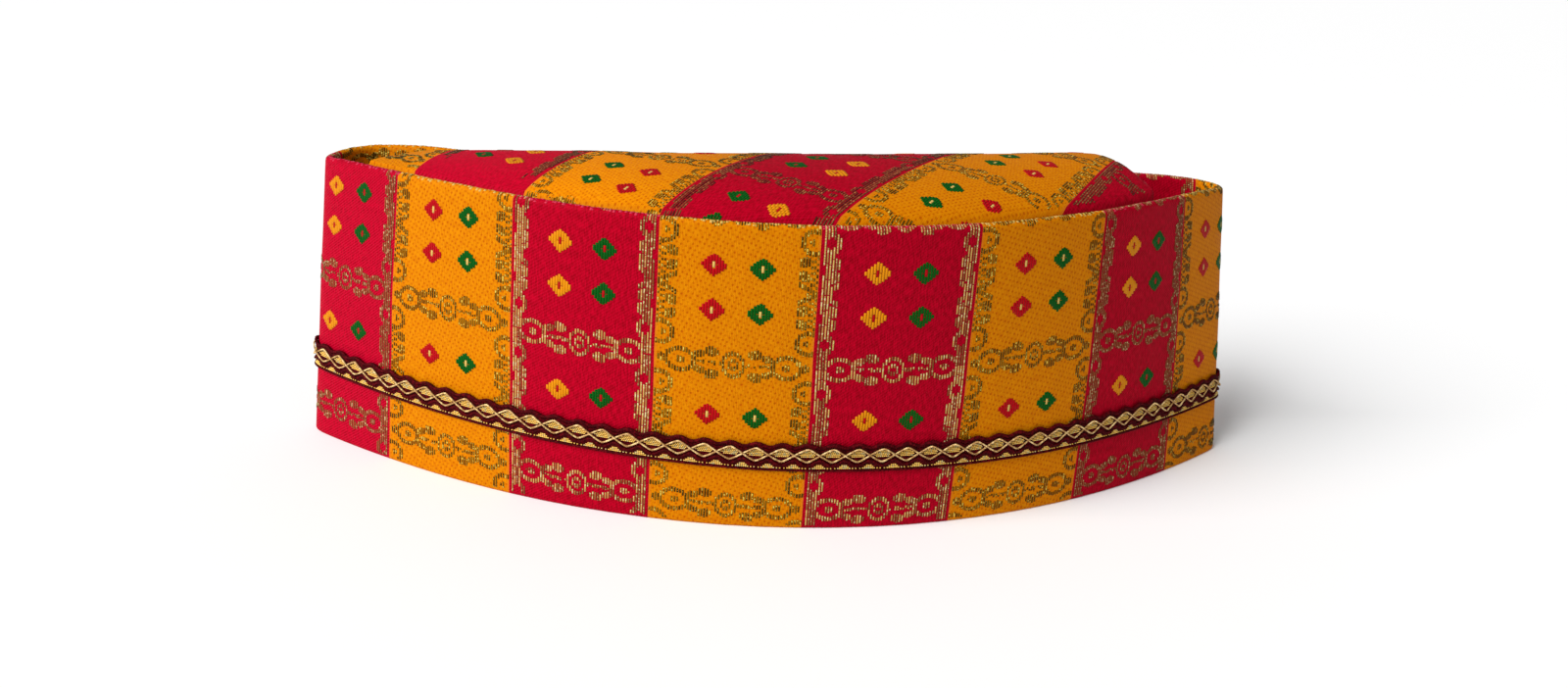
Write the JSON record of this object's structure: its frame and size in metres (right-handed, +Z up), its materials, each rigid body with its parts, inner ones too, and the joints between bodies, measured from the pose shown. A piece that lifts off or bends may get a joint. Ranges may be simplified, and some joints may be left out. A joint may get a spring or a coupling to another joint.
{
  "type": "embroidered topi cap",
  "caption": "Fold-flat brocade topi with a tall cuff band, a boat shaped crown inside it and a braid trim near the hem, open underneath for the head.",
  "frame": {"origin": "under the middle of the whole cap, on the floor it rests on", "axes": "+X along the long way of the cap, +Y towards its nearly straight rear wall, +Z up to the rim"},
  "size_m": [0.2723, 0.0806, 0.09],
  "materials": {
    "band_brocade": "red and yellow check brocade with gold thread",
    "crown_brocade": "red and yellow check brocade with gold thread",
    "gold_braid": "maroon and gold braid"
  },
  "bodies": {
    "root": {"cuff_band": "band_brocade", "crown": "crown_brocade", "braid_trim": "gold_braid"}
  },
  "joints": []
}
